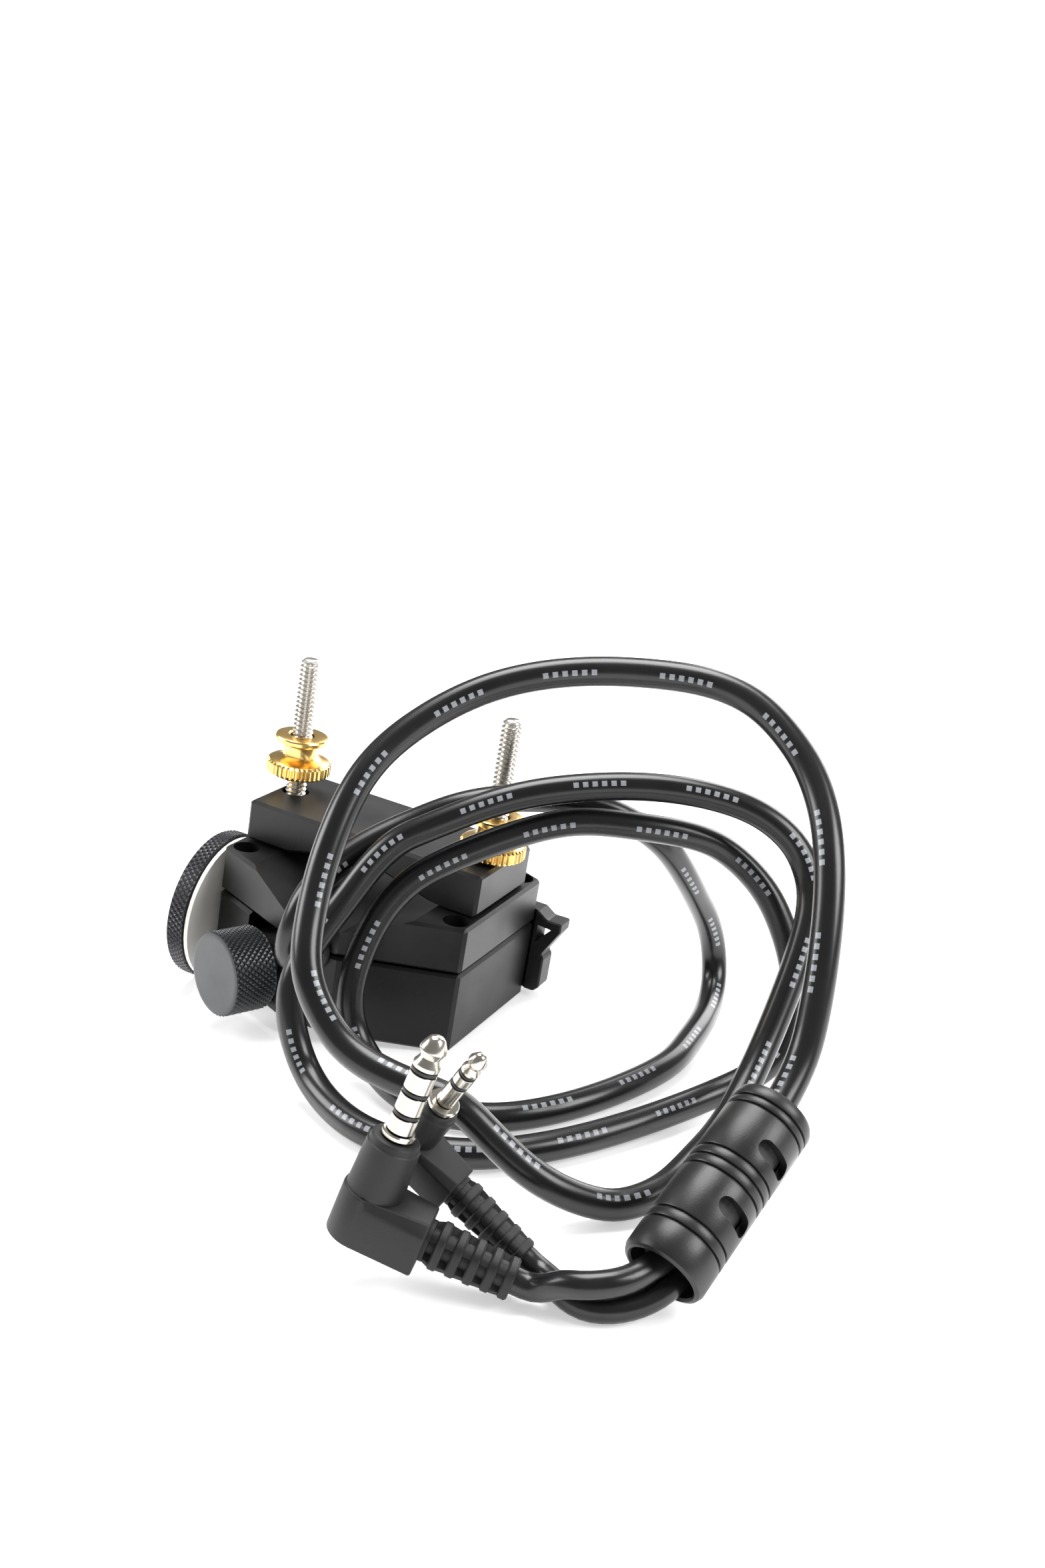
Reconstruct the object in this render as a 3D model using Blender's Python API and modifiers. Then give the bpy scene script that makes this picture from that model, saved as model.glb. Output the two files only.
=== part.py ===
"""Wired focus and iris control with a tube clamp, lying as it comes to rest on a flat surface.

The housing is drawn level, underside at z = 0 and length along X, then tipped about Y until
the big wheel and the housing's right edge both touch the surface. Metres, +Z up."""

import math

import bmesh
import bpy
from mathutils import Matrix, Vector

MM = 0.001
GAP = 0.3 * MM  # between pieces that touch
EDGE = 0.5 * MM  # rounding of the moulded edges

# housing
END_X = 23.0 * MM  # half the length
END_HALF_Y = 14.0 * MM  # half the width of an end
FACET_HALF_X = 5.0 * MM  # half the width of the front and back facets
FACET_Y = 22.0 * MM  # half the depth
HEIGHT = 22.0 * MM
SEAM_Z = HEIGHT - 8.0 * MM
WALL = 1.8 * MM
FLOOR = 1.8 * MM
STUD_X = END_X - 4.0 * MM
SADDLE_HALF_X = STUD_X - 4.0 * MM
SADDLE_FLAT = 5.0 * MM  # half the width of the saddle's flat
SADDLE_DEPTH = 3.8 * MM
CEILING_Z = HEIGHT - SADDLE_DEPTH - 2.2 * MM  # the deck under the saddle stays 2.2 mm

# housing screws
SCREW_X = END_X - 3.0 * MM
SCREW_Y = END_HALF_Y - 2.0 * MM
SCREW_HEAD_R = 1.9 * MM
SCREW_HEAD_H = 1.5 * MM
SCREW_SHANK_R = 0.9 * MM
SCREW_SHANK_L = 2.4 * MM
COUNTERBORE_DEPTH = 3.6 * MM

# studs, bridge and thumb nuts
STUD_R = 1.75 * MM
STUD_TOP = HEIGHT + 31.0 * MM
STUD_HEAD_R = 2.4 * MM
STUD_HEAD_H = 1.7 * MM
BRIDGE_HALF_X = STUD_X + 3.0 * MM
BRIDGE_HALF_Y = 9.5 * MM
BRIDGE_H = 7.0 * MM
ARCH_HALF_X = STUD_X - 5.5 * MM
ARCH_FLAT = 4.5 * MM
ARCH_DEPTH = 2.2 * MM
BRIDGE_HOLE_R = STUD_R + 2 * GAP
NUT_H = 7.0 * MM
NUT_TOP_R = 4.5 * MM
NUT_WAIST_R = 2.85 * MM
NUT_KNURL_R = 5.5 * MM
LEFT_NUT_LIFT = 3.4 * MM
RIGHT_NUT_LIFT = GAP

# focus wheel on the left end, iris knob on the near left face
WHEEL_Y = -7.6 * MM
WHEEL_Z = 7.8 * MM
WHEEL_R = 13.0 * MM
WHEEL_T = 3.2 * MM
WHEEL_GAP = 1.5 * MM  # from the housing to the marking disc
DISC_R = 12.6 * MM
DISC_T = 0.7 * MM
IRIS_ALONG = 14.2 * MM  # from the face's left edge
IRIS_Z = 6.4 * MM
IRIS_R = 7.0 * MM
IRIS_T = 7.6 * MM
IRIS_GAP = 1.1 * MM
KNOB_BEVEL = 0.4 * MM
SHAFT_R = 1.5 * MM
POT_SIDE = 8.6 * MM
POT_T = 4.4 * MM
NOTCH_W = 9.6 * MM
NOTCH_FLOOR_Z = 2.0 * MM

# circuit board
BOARD_T = 1.2 * MM
BOARD_TOP_Z = SEAM_Z - 0.8 * MM
BOARD_HALF_X = STUD_X - 4.5 * MM
BOARD_MARGIN = 0.9 * MM

# hook on the far right face
HOOK_ROOT_X = END_X - 6.0 * MM
HOOK_HALF_Y = 2.0 * MM
HOOK_Y = END_HALF_Y + 1.8 * MM

# cable
CORD_R = 2.2 * MM
LEAD_R = 1.75 * MM
GLAND_R = 3.0 * MM
GLAND_FLANGE_R = 3.8 * MM
GLAND_FLANGE_T = 1.0 * MM
CORD_SPACING = 11.5 * MM
LEAD_SPACING = 4.0 * MM

# noise filter on the cable
FILTER_BOTTOM = Vector((77.7, -59.2, 5.5)) * MM
FILTER_TOP = Vector((83.5, -35.5, 18.5)) * MM
FILTER_R = 5.7 * MM
FILTER_WALL = 1.1 * MM
CORE_BORE_R = 2.6 * MM
SLOT_W = 2.5 * MM
SLOT_ARC = 6.2 * MM
SLOT_WAY = Vector((0.86, -0.39, 0.33))  # the side that the slots face

# plugs: elbow, way of the pin, way of the arm
PLUG_35_ELBOW = Vector((42.7, -70.8, 9.3)) * MM
PLUG_35_PIN = Vector((0.271, 0.158, 0.95))
PLUG_35_ARM = Vector((0.927, 0.222, -0.302))
PLUG_25_ELBOW = Vector((43.3, -61.0, 14.2)) * MM
PLUG_25_PIN = Vector((0.544, -0.139, 0.828))
PLUG_25_ARM = Vector((0.836, 0.004, -0.549))

# route of the cable, from the gland to the filter, and of the two leads
CORD_ROUTE = [
    (0.0013, -0.0195, 0.0164), (0.0015, -0.0228, 0.0166), (0.0022, -0.0255, 0.0178),
    (0.0031, -0.0272, 0.0207), (0.0039, -0.0263, 0.0250), (0.0050, -0.0236, 0.0292),
    (0.0069, -0.0190, 0.0325), (0.0103, -0.0145, 0.0353), (0.0150, -0.0100, 0.0380),
    (0.0210, -0.0065, 0.0410), (0.0280, -0.0025, 0.0425), (0.0370, 0.0035, 0.0420),
    (0.0435, 0.0075, 0.0395), (0.0482, 0.0130, 0.0345), (0.0502, 0.0194, 0.0276),
    (0.0507, 0.0256, 0.0216), (0.0514, 0.0308, 0.0158), (0.0521, 0.0334, 0.0100),
    (0.0533, 0.0316, 0.0050), (0.0545, 0.0262, 0.0026), (0.0558, 0.0180, 0.0025),
    (0.0563, 0.0100, 0.0025), (0.0565, 0.0010, 0.0025), (0.0525, -0.0120, 0.0025),
    (0.0470, -0.0225, 0.0025), (0.0405, -0.0295, 0.0025), (0.0330, -0.0320, 0.0025),
    (0.0255, -0.0305, 0.0025), (0.0185, -0.0265, 0.0035), (0.0140, -0.0250, 0.0075),
    (0.0125, -0.0245, 0.0125), (0.0125, -0.0225, 0.0180), (0.0140, -0.0195, 0.0245),
    (0.0165, -0.0170, 0.0290), (0.0200, -0.0145, 0.0325), (0.0300, -0.0080, 0.0380),
    (0.0390, -0.0030, 0.0410), (0.0470, 0.0015, 0.0405), (0.0550, 0.0070, 0.0390),
    (0.0595, 0.0105, 0.0365), (0.0660, 0.0125, 0.0305), (0.0705, 0.0120, 0.0230),
    (0.0730, 0.0100, 0.0170), (0.0740, 0.0045, 0.0100), (0.0720, 0.0010, 0.0060),
    (0.0665, -0.0050, 0.0030), (0.0620, -0.0140, 0.0025), (0.0560, -0.0255, 0.0025),
    (0.0495, -0.0345, 0.0025), (0.0420, -0.0410, 0.0025), (0.0325, -0.0435, 0.0025),
    (0.0225, -0.0415, 0.0025), (0.0115, -0.0350, 0.0045), (0.0075, -0.0335, 0.0125),
    (0.0070, -0.0315, 0.0180), (0.0085, -0.0275, 0.0235), (0.0105, -0.0235, 0.0280),
    (0.0135, -0.0200, 0.0340), (0.0165, -0.0175, 0.0375), (0.0200, -0.0155, 0.0395),
    (0.0300, -0.0090, 0.0445), (0.0395, -0.0030, 0.0465), (0.0510, 0.0035, 0.0470),
    (0.0630, 0.0080, 0.0450), (0.0695, 0.0095, 0.0410), (0.0725, 0.0095, 0.0370),
    (0.0745, 0.0080, 0.0325), (0.0750, 0.0035, 0.0265), (0.0745, -0.0025, 0.0195),
    (0.0735, -0.0105, 0.0115), (0.0725, -0.0205, 0.0060), (0.0710, -0.0275, 0.0040),
    (0.0695, -0.0340, 0.0025), (0.0670, -0.0405, 0.0025), (0.0635, -0.0435, 0.0025),
    (0.0560, -0.0490, 0.0070), (0.0485, -0.0505, 0.0130), (0.0445, -0.0510, 0.0160),
    (0.0365, -0.0515, 0.0170), (0.0280, -0.0510, 0.0190), (0.0225, -0.0495, 0.0230),
    (0.0190, -0.0480, 0.0280), (0.0165, -0.0425, 0.0350), (0.0160, -0.0365, 0.0440),
    (0.0170, -0.0285, 0.0525), (0.0225, -0.0205, 0.0590), (0.0300, -0.0140, 0.0635),
    (0.0405, -0.0085, 0.0660), (0.0525, -0.0045, 0.0665), (0.0600, -0.0035, 0.0660),
    (0.0665, -0.0035, 0.0640), (0.0740, -0.0065, 0.0590), (0.0780, -0.0095, 0.0545),
    (0.0810, -0.0135, 0.0495), (0.0830, -0.0175, 0.0435), (0.0842, -0.0215, 0.0370),
    (0.0848, -0.0250, 0.0305), (0.0848, -0.0280, 0.0245), (0.0842, -0.0320, 0.0208),
    (0.0837, -0.0346, 0.0190),
]
LEAD_35_ROUTE = [
    (0.0618, -0.0662, 0.0031), (0.0632, -0.0659, 0.0027), (0.0652, -0.0660, 0.0032),
    (0.0677, -0.0666, 0.0050),
    (0.0706, -0.0665, 0.0057), (0.0731, -0.0652, 0.0060), (0.0752, -0.0628, 0.0061),
    (0.0766, -0.0598, 0.0066),
]
LEAD_25_ROUTE = [
    (0.0605, -0.0609, 0.0029), (0.0618, -0.0609, 0.0021), (0.0632, -0.0613, 0.0018),
    (0.0648, -0.0622, 0.0018),
    (0.0674, -0.0640, 0.0018), (0.0705, -0.0650, 0.0018), (0.0737, -0.0637, 0.0018),
    (0.0764, -0.0612, 0.0022), (0.0782, -0.0590, 0.0032),
]

parts = bpy.data.collections.new("focus_iris_control")
cutters = bpy.data.collections.new("cutters")
materials = {}


def clearScene():
    for obj in list(bpy.data.objects):
        bpy.data.objects.remove(obj, do_unlink=True)
    for collection in (parts, cutters):
        bpy.context.scene.collection.children.link(collection)
    cutters.hide_render = True


def material(name, colour, roughness, metallic=0.0):
    if name not in materials:
        made = bpy.data.materials.new(name)
        made.use_nodes = True
        shader = made.node_tree.nodes["Principled BSDF"]
        shader.inputs["Base Color"].default_value = (*colour, 1.0)
        shader.inputs["Roughness"].default_value = roughness
        shader.inputs["Metallic"].default_value = metallic
        materials[name] = made
    return materials[name]


def blackPlastic():
    return material("black_plastic", (0.02, 0.02, 0.022), 0.45)


def empty(name, matrix, parent=None):
    obj = bpy.data.objects.new(name, None)
    parts.objects.link(obj)
    obj.parent = parent
    obj.matrix_local = matrix
    return obj


def addMesh(name, mesh, look=None, parent=None, matrix=None, collection=None):
    obj = bpy.data.objects.new(name, mesh)
    (collection or (parts if look else cutters)).objects.link(obj)
    obj.parent = parent
    obj.matrix_local = matrix or Matrix()
    if look:
        mesh.materials.append(look)
    else:
        obj.display_type = "WIRE"
        obj.hide_render = True
    return obj


def box(name, low, high, **place):
    mesh = bpy.data.meshes.new(name)
    bm = bmesh.new()
    bmesh.ops.create_cube(bm, size=1.0)
    size = Vector(high) - Vector(low)
    bmesh.ops.scale(bm, vec=size, verts=bm.verts)
    bmesh.ops.translate(bm, vec=(Vector(low) + Vector(high)) / 2, verts=bm.verts)
    bm.to_mesh(mesh)
    bm.free()
    return addMesh(name, mesh, **place)


def cylinder(name, radius, low, high, sides=32, **place):
    """A cylinder along the local Z axis, from low to high."""
    mesh = bpy.data.meshes.new(name)
    bm = bmesh.new()
    bmesh.ops.create_cone(
        bm, cap_ends=True, segments=sides, radius1=radius, radius2=radius, depth=high - low
    )
    bmesh.ops.translate(bm, vec=(0, 0, (low + high) / 2), verts=bm.verts)
    bm.to_mesh(mesh)
    bm.free()
    return addMesh(name, mesh, **place)


def turned(name, profile, steps=32, **place):
    """A solid of revolution about local Z. The profile's (radius, z) points run top to bottom."""
    mesh = bpy.data.meshes.new(name)
    points = [(radius, 0, z) for radius, z in profile]
    mesh.from_pydata(points, [(i, i + 1) for i in range(len(points) - 1)], [])
    obj = addMesh(name, mesh, **place)
    screw = obj.modifiers.new("Screw", "SCREW")
    screw.axis = "Z"
    screw.steps = screw.render_steps = steps
    screw.use_merge_vertices = True
    screw.merge_threshold = 0.00001
    return obj


def plate(name, outline, low, high, standing=False, **place):
    """A flat outline made thick from low to high. A standing one lies in X and Z, thick along Y."""
    curve = bpy.data.curves.new(name + "_outline", "CURVE")
    curve.dimensions = "2D"
    curve.fill_mode = "BOTH"
    curve.extrude = (high - low) / 2
    spline = curve.splines.new("POLY")
    spline.points.add(len(outline) - 1)
    for point, (x, y) in zip(spline.points, outline):
        point.co = (x, y, 0, 1)
    spline.use_cyclic_u = True
    holder = bpy.data.objects.new(name + "_curve", curve)
    bpy.context.scene.collection.objects.link(holder)
    graph = bpy.context.evaluated_depsgraph_get()
    mesh = bpy.data.meshes.new_from_object(holder.evaluated_get(graph))
    mesh.name = name
    bpy.data.objects.remove(holder)
    bm = bmesh.new()
    bm.from_mesh(mesh)
    bmesh.ops.remove_doubles(bm, verts=bm.verts, dist=0.000001)
    bmesh.ops.translate(bm, vec=(0, 0, (low + high) / 2), verts=bm.verts)
    if standing:
        bmesh.ops.rotate(bm, matrix=Matrix.Rotation(math.pi / 2, 3, "X"), verts=bm.verts)
    bmesh.ops.recalc_face_normals(bm, faces=bm.faces)
    bm.to_mesh(mesh)
    bm.free()
    mesh.materials.clear()
    return addMesh(name, mesh, **place)


def boolean(obj, other, operation="DIFFERENCE"):
    modifier = obj.modifiers.new(operation.title() + "_" + other.name, "BOOLEAN")
    modifier.operation = operation
    modifier.object = other


def bevel(obj, width, segments=1, angle=35):
    modifier = obj.modifiers.new("Bevel", "BEVEL")
    modifier.width = width
    modifier.segments = segments
    modifier.limit_method = "ANGLE"
    modifier.angle_limit = math.radians(angle)


def octagon(inset=0.0):
    """The housing's outline, moved inwards by the inset."""
    slope = math.atan2(FACET_Y - END_HALF_Y, END_X - FACET_HALF_X)
    endX = END_X - inset
    facetY = FACET_Y - inset
    endY = END_HALF_Y - inset * (1 / math.cos(slope) - math.tan(slope))
    facetX = FACET_HALF_X - inset * (1 / math.sin(slope) - 1 / math.tan(slope))
    quarter = [(endX, endY), (facetX, facetY)]
    half = quarter + [(-x, y) for x, y in reversed(quarter)]
    return half + [(-x, -y) for x, y in half]


def along(start, way, across=None):
    """A frame at start whose Z axis runs along way, and whose X axis is as near across as it can be."""
    z = Vector(way).normalized()
    x = Vector(across or (0, 0, 1))
    x = (x - z * x.dot(z)).normalized()
    y = z.cross(x)
    return Matrix.Translation(start) @ Matrix((x, y, z)).transposed().to_4x4()


def irisFrame():
    """Local Z points out of the near left face at the knob's shaft."""
    edge = Vector((-END_X, -END_HALF_Y, 0))
    way = Vector((-FACET_HALF_X, -FACET_Y, 0)) - edge
    way.normalize()
    out = Vector((way.y, -way.x, 0))
    return along(edge + way * IRIS_ALONG + Vector((0, 0, IRIS_Z)), out)


def focusFrame():
    return along((-END_X, WHEEL_Y, WHEEL_Z), (-1, 0, 0))


def addLowerHousing(base):
    shell = plate("lower_housing", octagon(), 0, SEAM_Z - GAP / 2, look=blackPlastic(), parent=base)
    bevel(shell, EDGE)
    room = plate("lower_room", octagon(WALL), FLOOR, SEAM_Z + 1 * MM, parent=base)
    boolean(shell, room)
    for prefix, frame in (("focus", focusFrame()), ("iris", irisFrame())):
        floor = NOTCH_FLOOR_Z - frame.translation.z
        top = SEAM_Z - frame.translation.z + 1 * MM
        width = NOTCH_W / 2
        slot = box(
            prefix + "_notch", (floor, -width, -WALL - 1 * MM), (top, width, 1 * MM),
            parent=base, matrix=frame,
        )
        boolean(shell, slot)
    boolean(shell, glandHole(base, "lower_gland_hole"))
    return shell


def glandHole(base, name):
    frame = along((0, -FACET_Y, SEAM_Z), (0, -1, 0))
    return cylinder(name, GLAND_R + GAP, -WALL - 1 * MM, 1 * MM, parent=base, matrix=frame)


def addUpperHousing(base):
    shell = plate(
        "upper_housing", octagon(), SEAM_Z + GAP / 2, HEIGHT,
        look=material("black_plastic_top", (0.025, 0.025, 0.027), 0.38), parent=base,
    )
    bevel(shell, EDGE)
    room = plate("upper_room", octagon(WALL), SEAM_Z - 1 * MM, CEILING_Z, parent=base)
    boolean(shell, room)
    reach = FACET_Y + 2 * MM
    rise = 1 * MM
    slope = (SADDLE_HALF_X - SADDLE_FLAT) / SADDLE_DEPTH
    groove = [
        (-SADDLE_FLAT, HEIGHT - SADDLE_DEPTH), (SADDLE_FLAT, HEIGHT - SADDLE_DEPTH),
        (SADDLE_HALF_X + rise * slope, HEIGHT + rise), (-SADDLE_HALF_X - rise * slope, HEIGHT + rise),
    ]
    boolean(shell, plate("saddle_cut", groove, -reach, reach, standing=True, parent=base))
    for side in (-1, 1):
        hole = cylinder(
            f"stud_hole_{side}", STUD_R + GAP, CEILING_Z - 1 * MM, HEIGHT + 1 * MM,
            parent=base, matrix=Matrix.Translation((side * STUD_X, 0, 0)),
        )
        boolean(shell, hole)
        pocket = cylinder(
            f"stud_head_pocket_{side}", STUD_HEAD_R + GAP, SEAM_Z - 1 * MM, CEILING_Z,
            parent=base, matrix=Matrix.Translation((side * STUD_X, 0, 0)),
        )
        boolean(shell, pocket)
    for index, (x, y) in enumerate(screwPlaces()):
        place = Matrix.Translation((x, y, 0))
        bore = cylinder(
            f"counterbore_{index}", SCREW_HEAD_R + GAP, HEIGHT - COUNTERBORE_DEPTH,
            HEIGHT + 1 * MM, sides=24, parent=base, matrix=place,
        )
        shank = cylinder(
            f"shank_hole_{index}", SCREW_SHANK_R + GAP, SEAM_Z - 1 * MM, HEIGHT,
            sides=16, parent=base, matrix=place,
        )
        boolean(shell, bore)
        boolean(shell, shank)
    boolean(shell, glandHole(base, "upper_gland_hole"))
    return shell


def screwPlaces():
    return [(x * SCREW_X, y * SCREW_Y) for x in (-1, 1) for y in (-1, 1)]


def addHousingScrews(base):
    seat = HEIGHT - COUNTERBORE_DEPTH + GAP
    head, shank = SCREW_HEAD_R, SCREW_SHANK_R
    profile = [
        (0, seat + SCREW_HEAD_H), (head * 0.7, seat + SCREW_HEAD_H),
        (head, seat + SCREW_HEAD_H * 0.6), (head, seat), (shank, seat),
        (shank, seat - SCREW_SHANK_L), (0, seat - SCREW_SHANK_L),
    ]
    steel = material("dark_screw", (0.08, 0.08, 0.085), 0.35, 1.0)
    for index, (x, y) in enumerate(screwPlaces()):
        turned(
            f"housing_screw_{index + 1}", profile, steps=16, look=steel, parent=base,
            matrix=Matrix.Translation((x, y, 0)),
        )


def addStuds(base):
    under = CEILING_Z - GAP
    profile = [
        (0, STUD_TOP), (STUD_R - 0.4 * MM, STUD_TOP), (STUD_R, STUD_TOP - 0.4 * MM),
        (STUD_R, under), (STUD_HEAD_R, under), (STUD_HEAD_R, under - STUD_HEAD_H),
        (0, under - STUD_HEAD_H),
    ]
    steel = material("stainless", (0.62, 0.6, 0.57), 0.3, 1.0)
    for side, name in ((-1, "stud_left"), (1, "stud_right")):
        place = Matrix.Translation((side * STUD_X, 0, 0))
        turned(name, profile, steps=20, look=steel, parent=base, matrix=place)


def addBridge(base):
    low = HEIGHT + GAP
    outline = [
        (-BRIDGE_HALF_X, low), (-ARCH_HALF_X, low), (-ARCH_FLAT, low + ARCH_DEPTH),
        (ARCH_FLAT, low + ARCH_DEPTH), (ARCH_HALF_X, low), (BRIDGE_HALF_X, low),
        (BRIDGE_HALF_X, low + BRIDGE_H), (-BRIDGE_HALF_X, low + BRIDGE_H),
    ]
    bridge = plate(
        "clamp_bridge", outline, -BRIDGE_HALF_Y, BRIDGE_HALF_Y, standing=True,
        look=material("bridge_plastic", (0.03, 0.03, 0.033), 0.4), parent=base,
    )
    bevel(bridge, EDGE)
    for side in (-1, 1):
        hole = cylinder(
            f"bridge_hole_{side}", BRIDGE_HOLE_R, HEIGHT - 1 * MM, low + BRIDGE_H + 1 * MM,
            parent=base, matrix=Matrix.Translation((side * STUD_X, 0, 0)),
        )
        boolean(bridge, hole)


def addThumbNuts(base):
    bore = STUD_R + GAP
    rim = NUT_H - 1.2 * MM
    profile = [
        (bore, NUT_H), (NUT_TOP_R - 0.3 * MM, NUT_H), (NUT_TOP_R, NUT_H - 0.3 * MM),
        (NUT_TOP_R, rim), (NUT_WAIST_R, rim - 0.4 * MM), (NUT_WAIST_R, 3.6 * MM),
        (3.6 * MM, 2.9 * MM), (NUT_KNURL_R - 0.7 * MM, 2.6 * MM), (NUT_KNURL_R, 2.1 * MM),
        (NUT_KNURL_R, 0.3 * MM), (NUT_KNURL_R - 0.4 * MM, 0), (bore, 0), (bore, NUT_H),
    ]
    brass = material("brass", (0.78, 0.55, 0.22), 0.25, 1.0)
    top = HEIGHT + GAP + BRIDGE_H
    for side, name, lift in (
        (-1, "thumb_nut_left", LEFT_NUT_LIFT), (1, "thumb_nut_right", RIGHT_NUT_LIFT),
    ):
        place = Matrix.Translation((side * STUD_X, 0, top + lift))
        turned(name, profile, steps=32, look=brass, parent=base, matrix=place)


def addKnob(name, frame, radius, low, high, base, colour, sides):
    """A knob with a blind bore for its shaft, open towards the housing."""
    knob = cylinder(name, radius, low, high, sides=sides, look=colour, parent=base, matrix=frame)
    bevel(knob, KNOB_BEVEL)
    bore = cylinder(
        name + "_bore", SHAFT_R + GAP, low - 1 * MM, high - 1.2 * MM, sides=20,
        parent=base, matrix=frame,
    )
    boolean(knob, bore)


def addControl(prefix, frame, inner, outer, base):
    """The potentiometer behind a face, and its shaft out to the knob from inner to outer."""
    half = POT_SIDE / 2
    front = -WALL / 2
    pot = box(
        prefix + "_pot", (-half, -half, front - POT_T), (half, half, front),
        look=material("pot_body", (0.1, 0.1, 0.1), 0.5), parent=base, matrix=frame,
    )
    bore = cylinder(
        prefix + "_pot_bore", SHAFT_R + GAP, front - POT_T / 2, front + 1 * MM, sides=20,
        parent=base, matrix=frame,
    )
    boolean(pot, bore)
    cylinder(
        prefix + "_shaft", SHAFT_R, front - POT_T / 2 + GAP, outer - 1.2 * MM - GAP, sides=20,
        look=material("shaft_steel", (0.6, 0.6, 0.6), 0.35, 1.0), parent=base, matrix=frame,
    )


def addFocusWheel(base):
    frame = focusFrame()
    inner = WHEEL_GAP + DISC_T + GAP
    outer = inner + WHEEL_T
    knurl = material("knurled_black", (0.03, 0.03, 0.032), 0.4)
    addKnob("focus_wheel", frame, WHEEL_R, inner, outer, base, knurl, 64)
    disc = cylinder(
        "marking_disc", DISC_R, WHEEL_GAP, WHEEL_GAP + DISC_T, sides=48,
        look=material("marking_white", (0.85, 0.84, 0.8), 0.5), parent=base, matrix=frame,
    )
    boolean(disc, cylinder(
        "disc_bore", SHAFT_R + GAP, 0, WHEEL_GAP + DISC_T + 1 * MM, sides=20,
        parent=base, matrix=frame,
    ))
    addControl("focus", frame, inner, outer, base)


def addIrisKnob(base):
    frame = irisFrame()
    outer = IRIS_GAP + IRIS_T
    knurl = material("knob_black", (0.035, 0.036, 0.04), 0.42)
    addKnob("iris_knob", frame, IRIS_R, IRIS_GAP, outer, base, knurl, 48)
    addControl("iris", frame, IRIS_GAP, outer, base)


def addBoard(base):
    inset = WALL + BOARD_MARGIN
    (endX, endY), (facetX, facetY) = octagon(inset)[:2]
    run = (BOARD_HALF_X - facetX) / (endX - facetX)
    cornerY = facetY + (endY - facetY) * run
    quarter = [(BOARD_HALF_X, cornerY), (facetX, facetY - 1.5 * MM)]
    half = quarter + [(-x, y) for x, y in reversed(quarter)]
    outline = half + [(-x, -y) for x, y in half]
    plate(
        "circuit_board", outline, BOARD_TOP_Z - BOARD_T, BOARD_TOP_Z,
        look=material("board", (0.12, 0.16, 0.06), 0.5), parent=base,
    )


def addHook(base):
    """A moulded hook: a sloping arm with a lip on top, open behind, and a rounded foot."""
    edge, seam = END_X, SEAM_Z
    outline = [
        (HOOK_ROOT_X, 1.2 * MM), (edge + 2.0 * MM, 1.2 * MM), (edge + 3.0 * MM, 2.2 * MM),
        (edge + 3.0 * MM, seam - 6.2 * MM), (edge + 2.4 * MM, seam - 5.6 * MM),
        (edge + 5.2 * MM, seam - 0.6 * MM), (edge + 5.2 * MM, seam + 1.1 * MM),
        (edge + 2.4 * MM, seam + 1.0 * MM), (edge + 0.6 * MM, seam + 2.2 * MM),
        (HOOK_ROOT_X, seam + 2.2 * MM),
    ]
    hook = plate(
        "cable_hook", outline, -HOOK_Y - HOOK_HALF_Y, -HOOK_Y + HOOK_HALF_Y, standing=True,
        look=blackPlastic(), parent=base,
    )
    bevel(hook, EDGE / 2)
    window = [
        (edge + 0.9 * MM, seam - 3.6 * MM), (edge + 3.5 * MM, seam - 0.5 * MM),
        (edge + 0.9 * MM, seam - 0.3 * MM),
    ]
    boolean(hook, plate(
        "hook_window", window, -HOOK_Y - 4 * MM, -HOOK_Y + 4 * MM, standing=True, parent=base,
    ))
    clearance = plate("hook_clearance", octagon(-GAP), -1 * MM, HEIGHT + 1 * MM, parent=base)
    boolean(hook, clearance)


def addGland(base):
    top = GAP + GLAND_FLANGE_T
    profile = [
        (0, top), (GLAND_FLANGE_R - 0.3 * MM, top), (GLAND_FLANGE_R, top - 0.3 * MM),
        (GLAND_FLANGE_R, GAP), (GLAND_R, GAP), (GLAND_R, -WALL - 0.4 * MM),
        (0, -WALL - 0.4 * MM),
    ]
    turned(
        "cable_gland", profile, steps=24, look=material("rubber", (0.015, 0.015, 0.016), 0.6),
        parent=base, matrix=along((0, -FACET_Y, SEAM_Z), (0, -1, 0)),
    )


def curvePoints(route, spacing):
    """Points at even steps along a centripetal spline through the route's own points."""
    knots = [Vector(point) for point in route]
    knots = [knots[0] * 2 - knots[1]] + knots + [knots[-1] * 2 - knots[-2]]
    fine = []
    for a, b, c, d in zip(knots, knots[1:], knots[2:], knots[3:]):
        times = [0.0]
        for start, end in ((a, b), (b, c), (c, d)):
            times.append(times[-1] + math.sqrt((end - start).length))
        for step in range(12):
            t = times[1] + (times[2] - times[1]) * step / 12

            def blend(p, q, i, j):
                return p.lerp(q, (t - times[i]) / (times[j] - times[i]))

            ab, bc, cd = blend(a, b, 0, 1), blend(b, c, 1, 2), blend(c, d, 2, 3)
            fine.append(blend(blend(ab, bc, 0, 2), blend(bc, cd, 1, 3), 1, 2))
    fine.append(knots[-2])
    lengths = [0.0]
    for start, end in zip(fine, fine[1:]):
        lengths.append(lengths[-1] + (end - start).length)
    count = max(4, round(lengths[-1] / spacing))
    points, at = [], 0
    for index in range(count + 1):
        wanted = lengths[-1] * index / count
        while at < len(fine) - 2 and lengths[at + 1] < wanted:
            at += 1
        part = (wanted - lengths[at]) / (lengths[at + 1] - lengths[at])
        points.append(fine[at].lerp(fine[at + 1], part))
    return points


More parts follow.
